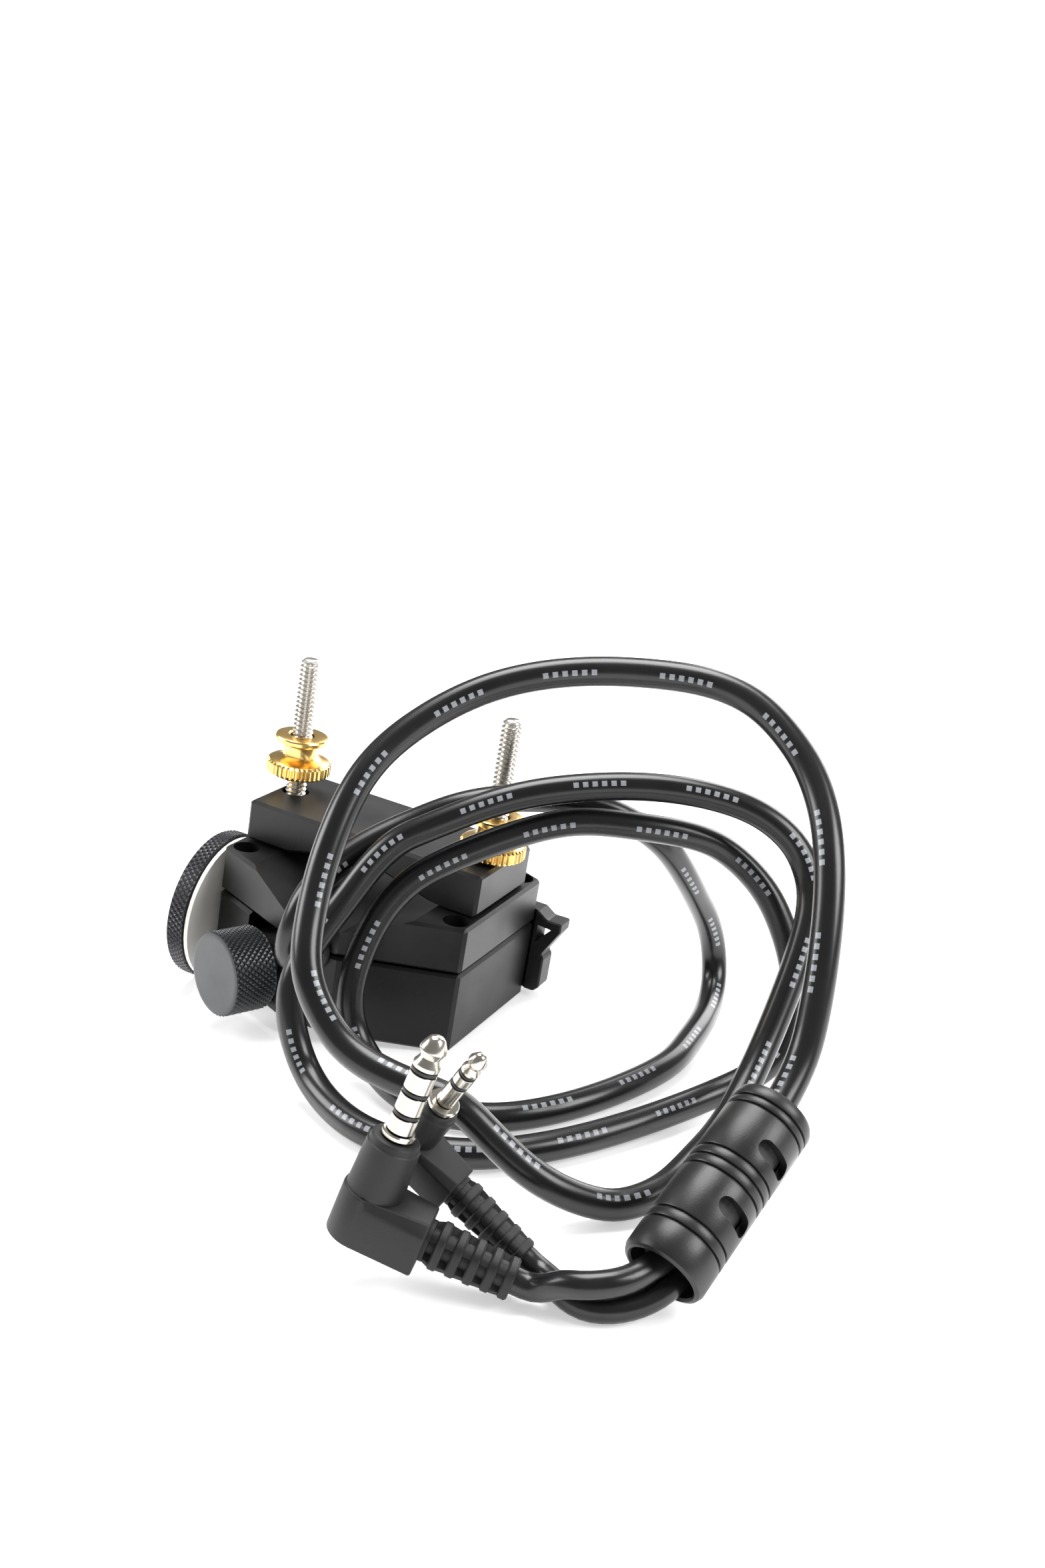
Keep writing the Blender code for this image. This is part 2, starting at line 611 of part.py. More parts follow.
def addTube(name, route, radius, spacing):
    """A cord whose first stretch is straight, and whose other points follow the smooth curve."""
    curve = bpy.data.curves.new(name, "CURVE")
    curve.dimensions = "3D"
    curve.bevel_depth = radius
    curve.bevel_resolution = 2
    curve.use_fill_caps = True
    points = [Vector(route[0])] + curvePoints(route[1:], spacing)
    spline = curve.splines.new("POLY")
    spline.points.add(len(points) - 1)
    for point, place in zip(spline.points, points):
        point.co = (*place, 1)
    curve.materials.append(material("pvc_black", (0.018, 0.018, 0.02), 0.35))
    obj = bpy.data.objects.new(name, curve)
    parts.objects.link(obj)


def addFilter():
    """The filter's moulded sleeve, open at its lower end, with the ferrite core inside."""
    frame = along(FILTER_BOTTOM, FILTER_TOP - FILTER_BOTTOM, SLOT_WAY)
    length = (FILTER_TOP - FILTER_BOTTOM).length
    inside = FILTER_R - FILTER_WALL
    rounding = 0.8 * MM
    profile = [
        (0, length), (FILTER_R - rounding, length), (FILTER_R, length - rounding),
        (FILTER_R, rounding), (FILTER_R - rounding, 0), (inside, 0), (inside, length - 2 * MM),
        (0, length - 2 * MM),
    ]
    sleeve = turned(
        "ferrite_sleeve", profile, steps=40,
        look=material("filter_plastic", (0.022, 0.022, 0.024), 0.42), matrix=frame,
    )
    for index, share in enumerate((0.37, 0.715)):
        middle = length * share
        slot = box(
            f"sleeve_slot_{index}", (inside - 2 * MM, -SLOT_ARC / 2, middle - SLOT_W / 2),
            (FILTER_R + 1 * MM, SLOT_ARC / 2, middle + SLOT_W / 2), matrix=frame,
        )
        boolean(sleeve, slot)
    core = cylinder(
        "ferrite_core", inside - GAP, 2.4 * MM, length - 2 * MM - GAP, sides=32,
        look=material("ferrite", (0.03, 0.03, 0.032), 0.6), matrix=frame,
    )
    boolean(core, cylinder(
        "core_bore", CORE_BORE_R, 0, length, sides=20, matrix=frame,
    ))


def addPlug(prefix, elbow, pin, arm, size):
    """A moulded right-angle jack plug: body, ribbed strain relief and the stacked contacts."""
    pin, arm = pin.normalized(), arm.normalized()
    arm = (arm - pin * arm.dot(pin)).normalized()
    frame = along(elbow, pin, arm)
    half, height = size["bodyHalf"], size["bodyHeight"]
    low = -height / 2
    rubber = material("plug_black", (0.03, 0.03, 0.032), 0.55)
    body = box(
        prefix + "_body", (-half, -half, low), (size["armLength"], half, height / 2),
        look=rubber, matrix=frame,
    )
    bevel(body, 1.0 * MM, 2)
    rim = size["rim"]
    barrel = turned(
        prefix + "_barrel", [
            (0, size["barrelTop"]), (rim - 0.5 * MM, size["barrelTop"]),
            (rim, size["barrelTop"] - 0.5 * MM), (half - 0.05 * MM, 0), (0, 0),
        ], steps=28, matrix=frame,
    )
    boolean(body, barrel, "UNION")
    armFrame = along(elbow + arm * (size["armLength"] + GAP), arm, pin)
    relief, ribs = size["reliefR"], 5
    pitch = size["reliefLength"] / ribs
    core = relief * 0.62
    profile = [(0, size["reliefLength"])]
    for rib in reversed(range(ribs)):
        base = rib * pitch
        shrink = 1 - 0.04 * rib
        profile += [
            (relief * shrink, base + pitch), (relief * shrink, base + pitch * 0.45),
            (core, base + pitch * 0.45), (core, base),
        ]
    profile += [(0, 0)]
    turned(prefix + "_relief", profile, steps=24, look=rubber, matrix=armFrame)
    nickel = material("nickel", (0.8, 0.77, 0.7), 0.18, 1.0)
    ring = material("ring_black", (0.02, 0.02, 0.02), 0.5)
    start = size["barrelTop"] + GAP
    cylinder(
        prefix + "_collar", size["collarR"], start, start + 0.6 * MM, sides=28,
        look=nickel, matrix=frame,
    )
    at = start + 0.6 * MM + GAP / 2
    bands = size["bands"]
    for index, (kind, length) in enumerate(bands):
        radius = size["pinR"] if kind != "insulator" else size["pinR"] - 0.05 * MM
        last = index == len(bands) - 1
        name = f"{prefix}_{kind}" if kind in ("tip", "sleeve") else f"{prefix}_{kind}_{index}"
        profile = [(0, at + length), (radius, at + length), (radius, at), (0, at)]
        if last:
            neck = at + length * 0.34
            profile = [
                (0, at + length), (radius * 0.45, at + length - 0.3 * MM),
                (radius, neck + length * 0.3), (radius, neck + length * 0.16),
                (radius * 0.72, neck), (radius, at + length * 0.12), (radius, at), (0, at),
            ]
        turned(name, profile, steps=24, look=ring if kind == "insulator" else nickel, matrix=frame)
        at += length + GAP / 2


def plug35():
    return {
        "bodyHalf": 4.0 * MM, "bodyHeight": 6.8 * MM, "armLength": 8.2 * MM, "barrelTop": 11.0 * MM,
        "rim": 3.4 * MM, "reliefR": 2.85 * MM, "reliefLength": 11.6 * MM, "collarR": 2.2 * MM,
        "pinR": 1.75 * MM,
        "bands": [
            ("sleeve", 2.0 * MM), ("insulator", 0.45 * MM), ("ring", 2.3 * MM),
            ("insulator", 0.45 * MM), ("ring", 2.3 * MM), ("insulator", 0.45 * MM),
            ("tip", 4.4 * MM),
        ],
    }


def plug25():
    return {
        "bodyHalf": 2.8 * MM, "bodyHeight": 5.4 * MM, "armLength": 8.2 * MM, "barrelTop": 9.0 * MM,
        "rim": 2.6 * MM, "reliefR": 2.3 * MM, "reliefLength": 11.6 * MM, "collarR": 2.1 * MM,
        "pinR": 1.25 * MM,
        "bands": [
            ("sleeve", 3.6 * MM), ("insulator", 0.4 * MM), ("ring", 1.5 * MM),
            ("insulator", 0.4 * MM), ("tip", 3.4 * MM),
        ],
    }


def seat(base):
    """Tips the level assembly onto its wheel, stands it on z = 0 and centres it on the origin."""
    foot = END_X - EDGE
    wheelEdge = END_X + WHEEL_GAP + DISC_T + GAP + KNOB_BEVEL
    tilt = math.atan2(WHEEL_R - WHEEL_Z, wheelEdge + foot)
    base.matrix_world = Matrix.Rotation(tilt, 4, "Y")
    bpy.context.view_layer.update()
    graph = bpy.context.evaluated_depsgraph_get()
    corners = []
    for obj in parts.objects:
        if obj.parent == base and obj.type == "MESH":
            solid = obj.evaluated_get(graph)
            corners += [solid.matrix_world @ vertex.co for vertex in solid.data.vertices]
    low = Vector(min(corner[axis] for corner in corners) for axis in range(3))
    high = Vector(max(corner[axis] for corner in corners) for axis in range(3))
    base.location = (-(low.x + high.x) / 2, -(low.y + high.y) / 2, -low.z)


def main():
    clearScene()
    base = empty("housing_frame", Matrix())
    addLowerHousing(base)
    addUpperHousing(base)
    addHousingScrews(base)
    addStuds(base)
    addBridge(base)
    addThumbNuts(base)
    addFocusWheel(base)
    addIrisKnob(base)
    addBoard(base)
    addHook(base)
    addGland(base)
    seat(base)
    addTube("main_cable", CORD_ROUTE, CORD_R, CORD_SPACING)
    addTube("lead_35", LEAD_35_ROUTE, LEAD_R, LEAD_SPACING)
    addTube("lead_25", LEAD_25_ROUTE, LEAD_R, LEAD_SPACING)
    addFilter()
    addPlug("plug_35", PLUG_35_ELBOW, PLUG_35_PIN, PLUG_35_ARM, plug35())
    addPlug("plug_25", PLUG_25_ELBOW, PLUG_25_PIN, PLUG_25_ARM, plug25())
    bpy.context.view_layer.update()


main()
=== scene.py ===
import math

import bpy
from mathutils import Matrix, Vector


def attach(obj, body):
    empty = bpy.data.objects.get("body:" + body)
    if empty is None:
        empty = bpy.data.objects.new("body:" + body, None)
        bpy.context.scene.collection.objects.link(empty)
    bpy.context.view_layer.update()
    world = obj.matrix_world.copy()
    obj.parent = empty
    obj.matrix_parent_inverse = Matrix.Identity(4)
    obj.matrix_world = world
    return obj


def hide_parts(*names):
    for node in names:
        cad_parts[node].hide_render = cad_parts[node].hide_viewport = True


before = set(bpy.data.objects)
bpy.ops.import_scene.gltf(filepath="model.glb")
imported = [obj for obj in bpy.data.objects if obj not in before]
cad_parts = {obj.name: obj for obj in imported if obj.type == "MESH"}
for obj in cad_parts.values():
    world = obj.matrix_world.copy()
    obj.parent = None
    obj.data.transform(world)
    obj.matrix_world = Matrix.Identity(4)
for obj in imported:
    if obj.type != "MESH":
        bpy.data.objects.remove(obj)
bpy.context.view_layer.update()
bpy.ops.object.select_all(action="DESELECT")

mm = 0.001
cameraSettings = {
    "place": (0.1328, -0.2327, 0.1226), "right": (0.9026, 0.4259, 0.0621),
    "up": (-0.1793, 0.2409, 0.9538), "lens": 38.9, "sensor": 36, "nearest": 0.01,
}
lightSettings = {  # place, size, watts
    "overhead": ((-0.10, 0.15, 0.70), 0.45, 7.0),
    "left": ((-0.60, -0.20, 0.35), 0.35, 3.5),
    "right": ((0.60, 0.05, 0.45), 0.35, 4.0),
    "back": ((0.10, 0.65, 0.30), 0.45, 3.5),
}
lightsAimAt = Vector((0.03, -0.01, 0.02))
worldSettings = {"colour": (1, 1, 1, 1), "around": 0.3, "behind": 1.1}
floorSettings = {
    "size": 8, "colour": (0.93, 0.93, 0.93, 1), "rough": 0.28,
    "near": 0.14, "nearGlow": 0.48, "far": 0.45, "farGlow": 1.05,
}
lean = (5.2, 48.4)  # the box tips up by the first over the length of the second
housingPlace = Matrix.Translation((-0.000288, 0.004199, 0.002404)) @ Matrix.Rotation(
    math.atan2(*lean), 4, "Y"
)


# camera, lights and floor

def link(tree, start, end):
    tree.links.new(start, end)


def setCamera():
    bpy.ops.object.camera_add()
    camera = bpy.context.object
    right = Vector(cameraSettings["right"]).normalized()
    back = right.cross(Vector(cameraSettings["up"])).normalized()
    turned = Matrix((right, back.cross(right), back)).transposed().to_4x4()
    camera.matrix_world = Matrix.Translation(cameraSettings["place"]) @ turned
    camera.data.lens = cameraSettings["lens"]
    camera.data.sensor_width = cameraSettings["sensor"]
    camera.data.clip_start = cameraSettings["nearest"]
    bpy.context.scene.camera = camera


def setLights():
    for name, (place, size, watts) in lightSettings.items():
        bpy.ops.object.light_add(type="AREA", location=place)
        lamp = bpy.context.object
        lamp.name = name
        lamp.data.energy = watts
        lamp.data.size = size
        aim = lightsAimAt - Vector(place)
        lamp.rotation_euler = aim.to_track_quat("-Z", "Y").to_euler()
    world = bpy.data.worlds.new("paleStudio")
    world.use_nodes = True
    tree = world.node_tree
    background = tree.nodes["Background"]
    background.inputs["Color"].default_value = worldSettings["colour"]
    path = tree.nodes.new("ShaderNodeLightPath")  # plain white behind, dimmer light around
    level = tree.nodes.new("ShaderNodeMapRange")
    level.inputs["To Min"].default_value = worldSettings["around"]
    level.inputs["To Max"].default_value = worldSettings["behind"]
    link(tree, path.outputs["Is Camera Ray"], level.inputs["Value"])
    link(tree, level.outputs["Result"], background.inputs["Strength"])
    bpy.context.scene.world = world
    bpy.context.scene.view_settings.view_transform = "Standard"


def setFloor():
    bpy.ops.mesh.primitive_plane_add(size=floorSettings["size"])
    floor = bpy.context.object
    floor.name = "floor"
    look = bpy.data.materials.new("floorWhite")
    look.use_nodes = True
    tree = look.node_tree
    shader = tree.nodes["Principled BSDF"]
    shader.inputs["Base Color"].default_value = floorSettings["colour"]
    shader.inputs["Roughness"].default_value = floorSettings["rough"]
    shader.inputs["Emission Color"].default_value = (1, 1, 1, 1)
    where = tree.nodes.new("ShaderNodeTexCoord")
    away = tree.nodes.new("ShaderNodeVectorMath")
    away.operation = "LENGTH"
    glow = tree.nodes.new("ShaderNodeMapRange")  # whiter where the lamps don't reach
    glow.inputs["From Min"].default_value = floorSettings["near"]
    glow.inputs["From Max"].default_value = floorSettings["far"]
    glow.inputs["To Min"].default_value = floorSettings["nearGlow"]
    glow.inputs["To Max"].default_value = floorSettings["farGlow"]
    link(tree, where.outputs["Object"], away.inputs[0])
    link(tree, away.outputs["Value"], glow.inputs["Value"])
    link(tree, glow.outputs["Result"], shader.inputs["Emission Strength"])
    floor.data.materials.append(look)


# finishes

grainHeight = 0.05 * mm
markSettings = {  # lengths along the cable in mm, width as a share of the way round
    "dash": 1.45, "dashShare": 0.56, "group": 17.4, "groupShare": 0.5,
    "halfWidth": 0.03, "colour": (0.26, 0.27, 0.29, 1),
}
jacketSettings = {
    "colour": (0.006, 0.006, 0.0068), "rough": (0.24, 0.3), "grain": 1800, "bump": 0.06,
    "patch": 90,
}


def newLook(
    name, colour, rough, metal=0.0, grain=4500, bump=0.25, patch=160, shift=0.35, sheen=0.5
):
    look = bpy.data.materials.new(name)
    look.use_nodes = True
    tree = look.node_tree
    shader = tree.nodes["Principled BSDF"]
    shader.inputs["Metallic"].default_value = metal
    shader.inputs["Specular IOR Level"].default_value = sheen
    where = tree.nodes.new("ShaderNodeTexCoord")
    fine = tree.nodes.new("ShaderNodeTexNoise")
    broad = tree.nodes.new("ShaderNodeTexNoise")
    for noise, scale, detail in ((fine, grain, 3), (broad, patch, 4)):
        noise.inputs["Scale"].default_value = scale
        noise.inputs["Detail"].default_value = detail
        link(tree, where.outputs["Object"], noise.inputs["Vector"])
    raised = tree.nodes.new("ShaderNodeBump")
    raised.inputs["Strength"].default_value = bump
    raised.inputs["Distance"].default_value = grainHeight
    link(tree, fine.outputs["Fac"], raised.inputs["Height"])
    link(tree, raised.outputs["Normal"], shader.inputs["Normal"])
    ramp = tree.nodes.new("ShaderNodeValToRGB")
    darker = [part * (1 - shift) for part in colour]
    lighter = [min(1, part * (1 + shift)) for part in colour]
    for stop, at, shade in zip(ramp.color_ramp.elements, (0.3, 0.7), (darker, lighter)):
        stop.position = at
        stop.color = (*shade, 1)
    link(tree, broad.outputs["Fac"], ramp.inputs["Fac"])
    link(tree, ramp.outputs["Color"], shader.inputs["Base Color"])
    spread = tree.nodes.new("ShaderNodeMapRange")
    spread.inputs["To Min"].default_value = rough[0]
    spread.inputs["To Max"].default_value = rough[1]
    link(tree, broad.outputs["Fac"], spread.inputs["Value"])
    link(tree, spread.outputs["Result"], shader.inputs["Roughness"])
    return look


def mathNode(tree, operation, first, second):
    node = tree.nodes.new("ShaderNodeMath")
    node.operation = operation
    for socket, value in zip(node.inputs, (first, second)):
        if isinstance(value, (int, float)):
            socket.default_value = value
        else:
            link(tree, value, socket)
    return node.outputs["Value"]


def printedJacket(name, length):
    look = newLook(name, **jacketSettings)
    tree = look.node_tree
    shader = tree.nodes["Principled BSDF"]
    uv = tree.nodes.new("ShaderNodeUVMap")
    split = tree.nodes.new("ShaderNodeSeparateXYZ")
    link(tree, uv.outputs["UV"], split.inputs["Vector"])
    run = mathNode(tree, "MULTIPLY", split.outputs["X"], length / mm)

    def repeated(pitch, share):
        part = mathNode(tree, "FRACT", mathNode(tree, "DIVIDE", run, pitch), 0)
        return mathNode(tree, "LESS_THAN", part, share)

    dash = repeated(markSettings["dash"], markSettings["dashShare"])
    group = repeated(markSettings["group"], markSettings["groupShare"])
    side = mathNode(tree, "ABSOLUTE", mathNode(tree, "SUBTRACT", split.outputs["Y"], 0.5), 0)
    band = mathNode(tree, "LESS_THAN", side, markSettings["halfWidth"])
    mark = mathNode(tree, "MULTIPLY", mathNode(tree, "MULTIPLY", dash, group), band)
    blend = tree.nodes.new("ShaderNodeMix")
    blend.data_type = "RGBA"
    plainColour = shader.inputs["Base Color"].links[0].from_socket
    link(tree, mark, blend.inputs["Factor"])
    link(tree, plainColour, blend.inputs[6])  # 6 and 7 are the two colours
    blend.inputs[7].default_value = markSettings["colour"]
    link(tree, blend.outputs[2], shader.inputs["Base Color"])
    return look


looks = {
    "black_plastic": newLook("satinBlack", (0.004, 0.004, 0.0043), (0.36, 0.52), sheen=0.3),
    # painted light: a lighter copy of the same satin black, for the upper housing, brighter
    # where light falls on it
    "black_plastic_top": newLook(
        "satinBlackPaintedLightTop", (0.006, 0.006, 0.0063), (0.3, 0.46), sheen=0.36
    ),
    # painted highlight: a still lighter copy of the same satin black, for the top of the clamp
    # bridge
    "bridge_plastic": newLook(
        "satinBlackBridgePaintedHighlight", (0.010, 0.010, 0.0105), (0.34, 0.5), sheen=0.42
    ),
    "knurled_black": newLook(
        "anodisedWheel", (0.03, 0.03, 0.033), (0.26, 0.4), metal=0.35, bump=0.1
    ),
    "knob_black": newLook(
        "anodisedKnob", (0.035, 0.037, 0.041), (0.3, 0.42), metal=0.35, bump=0.1
    ),
    "marking_white": newLook(
        "markingWhite", (0.82, 0.8, 0.75), (0.4, 0.55), shift=0.03, bump=0.1
    ),
    "dark_screw": newLook("blackScrew", (0.05, 0.05, 0.055), (0.3, 0.45), metal=0.9, bump=0.1),
    "stainless": newLook(
        "stainless", (0.66, 0.63, 0.58), (0.22, 0.34), metal=1.0, shift=0.08, bump=0.08
    ),
    "brass": newLook(
        "turnedBrass", (0.86, 0.58, 0.2), (0.16, 0.3), metal=1.0, shift=0.1, bump=0.08
    ),
    "shaft_steel": newLook(
        "shaftSteel", (0.55, 0.55, 0.55), (0.3, 0.4), metal=1.0, shift=0.1, bump=0.1
    ),
    "pot_body": newLook("potCase", (0.05, 0.05, 0.052), (0.4, 0.55)),
    "board": newLook("boardGreen", (0.03, 0.06, 0.02), (0.35, 0.5), patch=600),
    "pvc_black": newLook(
        "leadJacket", (0.008, 0.008, 0.009), (0.2, 0.32), grain=1800, bump=0.1
    ),
    "rubber": newLook("glandRubber", (0.012, 0.012, 0.013), (0.5, 0.65)),
    "filter_plastic": newLook(
        "filterShell", (0.012, 0.012, 0.0125), (0.28, 0.46), bump=0.25, patch=220, sheen=0.45
    ),
    "ferrite": newLook("ferriteGrey", (0.03, 0.03, 0.032), (0.5, 0.7), patch=900),
    "plug_black": newLook(
        "plugMoulding", (0.012, 0.012, 0.0126), (0.46, 0.6), grain=5200, bump=0.4, sheen=0.4
    ),
    "nickel": newLook(
        "nickelPlate", (0.58, 0.55, 0.49), (0.16, 0.28), metal=1.0, shift=0.04, bump=0.03
    ),
    "ring_black": newLook("ringBlack", (0.015, 0.015, 0.015), (0.4, 0.5)),
}


# mesh helpers

mergeWithin = 0.0005 * mm


def framed(start, way, across=(0, 0, 1)):
    z = Vector(way).normalized()
    x = Vector(across)
    x = (x - z * x.dot(z)).normalized()
    return Matrix.Translation(start) @ Matrix((x, z.cross(x), z)).transposed().to_4x4()


def putDown(obj, place, body, slot, *replaced, angle=32):
    bpy.ops.object.select_all(action="DESELECT")
    obj.select_set(True)
    bpy.context.view_layer.objects.active = obj
    obj.matrix_world = place
    bpy.ops.object.transform_apply(location=True, rotation=True, scale=True)
    bpy.ops.object.shade_smooth_by_angle(angle=math.radians(angle))
    obj.data.materials.clear()
    obj.data.materials.append(looks[slot])
    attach(obj, body)
    if replaced:
        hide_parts(*replaced)
    obj.select_set(False)
    return obj


def rollSheet(name, rows, around=48, radiusAt=None, ring=False, facets=False):
    # a flat grid rolled up: each row is (radius, height, kind), bottom to top
    bpy.ops.mesh.primitive_grid_add(
        x_subdivisions=around, y_subdivisions=len(rows) - 1, size=1
    )
    obj = bpy.context.object
    obj.name = name
    for vertex in obj.data.vertices:
        step = round((vertex.co.x + 0.5) * around) % around
        row = round((vertex.co.y + 0.5) * (len(rows) - 1))
        radius, height, kind = rows[row]
        if radiusAt:
            radius = radiusAt(radius, height, kind, step)
        angle = 2 * math.pi * step / around
        vertex.co = (radius * math.cos(angle), radius * math.sin(angle), height)
    bpy.ops.object.mode_set(mode="EDIT")
    bpy.ops.mesh.select_all(action="SELECT")
    bpy.ops.mesh.remove_doubles(threshold=mergeWithin)
    if not ring:
        bpy.ops.mesh.fill_holes(sides=0)
    bpy.ops.mesh.select_all(action="SELECT")
    bpy.ops.mesh.normals_make_consistent(inside=False)
    if facets:
        bpy.ops.mesh.quads_convert_to_tris(quad_method="SHORTEST_DIAGONAL")
    bpy.ops.object.mode_set(mode="OBJECT")
    return obj


def plain(points):
    return [(radius * mm, height * mm, "plain") for radius, height in points]


def useModifier(obj, kind, **values):
    bpy.context.view_layer.objects.active = obj
    modifier = obj.modifiers.new(kind.title(), kind)
    for key, value in values.items():
        setattr(modifier, key, value)
    bpy.ops.object.modifier_apply(modifier=modifier.name)


def joinOrCut(obj, other, operation):
    useModifier(obj, "BOOLEAN", operation=operation, object=other, solver="EXACT")
    bpy.data.objects.remove(other)


def bevelWhere(obj, test, width, segments):
    # test gets an edge's two ends in millimetres
    bpy.ops.object.mode_set(mode="EDIT")
    bpy.ops.mesh.select_mode(type="EDGE")
    bpy.ops.mesh.select_all(action="DESELECT")
    bpy.ops.object.mode_set(mode="OBJECT")
    for edge in obj.data.edges:
        a, b = (obj.data.vertices[i].co / mm for i in edge.vertices)
        edge.select = test(a, b)
    bpy.ops.object.mode_set(mode="EDIT")
    bpy.ops.mesh.bevel(offset=width * mm, segments=segments, affect="EDGES")
    bpy.ops.object.mode_set(mode="OBJECT")


# cables

cableSettings = {
    "diameter": 0.0044, "leadDiameter": 0.0035, "step": 0.0012, "sides": 20,
    "roll": 1.25, "between": 12, "eased": 30,
}
cableRoute = [
    (0.0013, -0.0195, 0.0164), (0.0015, -0.0228, 0.0166), (0.0022, -0.0255, 0.0178),
    (0.0031, -0.0272, 0.0207), (0.0039, -0.0263, 0.0250), (0.0050, -0.0236, 0.0292),
    (0.0069, -0.0190, 0.0325), (0.0103, -0.0145, 0.0353), (0.0150, -0.0100, 0.0380),
    (0.0210, -0.0065, 0.0410), (0.0280, -0.0025, 0.0425), (0.0370, 0.0035, 0.0420),
    (0.0435, 0.0075, 0.0395), (0.0482, 0.0130, 0.0345), (0.0502, 0.0194, 0.0276),
    (0.0507, 0.0256, 0.0216), (0.0514, 0.0308, 0.0158), (0.0521, 0.0334, 0.0100),
    (0.0533, 0.0316, 0.0050), (0.0545, 0.0262, 0.0026), (0.0558, 0.0180, 0.0025),
    (0.0563, 0.0100, 0.0025), (0.0565, 0.0010, 0.0025), (0.0525, -0.0120, 0.0025),
    (0.0470, -0.0225, 0.0025), (0.0405, -0.0295, 0.0025), (0.0330, -0.0320, 0.0025),
    (0.0255, -0.0305, 0.0025), (0.0185, -0.0265, 0.0035), (0.0140, -0.0250, 0.0075),
    (0.0125, -0.0245, 0.0125), (0.0125, -0.0225, 0.0180), (0.0140, -0.0195, 0.0245),
    (0.0165, -0.0170, 0.0290), (0.0200, -0.0145, 0.0325), (0.0300, -0.0080, 0.0380),
    (0.0390, -0.0030, 0.0410), (0.0470, 0.0015, 0.0405), (0.0550, 0.0070, 0.0390),
    (0.0595, 0.0105, 0.0365), (0.0660, 0.0125, 0.0305), (0.0705, 0.0120, 0.0230),
    (0.0730, 0.0100, 0.0170), (0.0740, 0.0045, 0.0100), (0.0720, 0.0010, 0.0060),
    (0.0665, -0.0050, 0.0030), (0.0620, -0.0140, 0.0025), (0.0560, -0.0255, 0.0025),
    (0.0495, -0.0345, 0.0025), (0.0420, -0.0410, 0.0025), (0.0325, -0.0435, 0.0025),
    (0.0225, -0.0415, 0.0025), (0.0115, -0.0350, 0.0045), (0.0075, -0.0335, 0.0125),
    (0.0070, -0.0315, 0.0180), (0.0085, -0.0275, 0.0235), (0.0105, -0.0235, 0.0280),
    (0.0135, -0.0200, 0.0340), (0.0165, -0.0175, 0.0375), (0.0200, -0.0155, 0.0395),
    (0.0300, -0.0090, 0.0445), (0.0395, -0.0030, 0.0465), (0.0510, 0.0035, 0.0470),
    (0.0630, 0.0080, 0.0450), (0.0695, 0.0095, 0.0410), (0.0725, 0.0095, 0.0370),
    (0.0745, 0.0080, 0.0325), (0.0750, 0.0035, 0.0265), (0.0745, -0.0025, 0.0195),
    (0.0735, -0.0105, 0.0115), (0.0725, -0.0205, 0.0060), (0.0710, -0.0275, 0.0040),
    (0.0695, -0.0340, 0.0025), (0.0670, -0.0405, 0.0025), (0.0635, -0.0435, 0.0025),
    (0.0560, -0.0490, 0.0070), (0.0485, -0.0505, 0.0130), (0.0445, -0.0510, 0.0160),
    (0.0365, -0.0515, 0.0170), (0.0280, -0.0510, 0.0190), (0.0225, -0.0495, 0.0230),
    (0.0190, -0.0480, 0.0280), (0.0165, -0.0425, 0.0350), (0.0160, -0.0365, 0.0440),
    (0.0170, -0.0285, 0.0525), (0.0225, -0.0205, 0.0590), (0.0300, -0.0140, 0.0635),
    (0.0405, -0.0085, 0.0660), (0.0525, -0.0045, 0.0665), (0.0600, -0.0035, 0.0660),
    (0.0665, -0.0035, 0.0640), (0.0740, -0.0065, 0.0590), (0.0780, -0.0095, 0.0545),
    (0.0810, -0.0135, 0.0495), (0.0830, -0.0175, 0.0435), (0.0842, -0.0215, 0.0370),
    (0.0848, -0.0250, 0.0305), (0.0848, -0.0280, 0.0245), (0.0842, -0.0320, 0.0208),
    (0.0837, -0.0346, 0.0190),
]
lead35Route = [
    (0.0784, -0.0558, 0.0076), (0.0776, -0.0578, 0.0070), (0.0766, -0.0598, 0.0066),
    (0.0752, -0.0628, 0.0061), (0.0731, -0.0652, 0.0060), (0.0706, -0.0665, 0.0057),
    (0.0677, -0.0666, 0.0050), (0.0652, -0.0660, 0.0032), (0.0632, -0.0659, 0.0027),
    (0.0618, -0.0662, 0.0031), (0.0571, -0.0673, 0.0046), (0.0527, -0.0684, 0.0060),
]
lead25Route = [
    (0.0800, -0.0548, 0.0052), (0.0792, -0.0568, 0.0042), (0.0782, -0.0590, 0.0032),
    (0.0764, -0.0612, 0.0022), (0.0737, -0.0637, 0.0018), (0.0705, -0.0650, 0.0018),
    (0.0674, -0.0640, 0.0018), (0.0648, -0.0622, 0.0018), (0.0632, -0.0613, 0.0018),
    (0.0618, -0.0609, 0.0021), (0.0605, -0.0609, 0.0029), (0.0565, -0.0609, 0.0055),
    (0.0527, -0.0610, 0.0081),
]


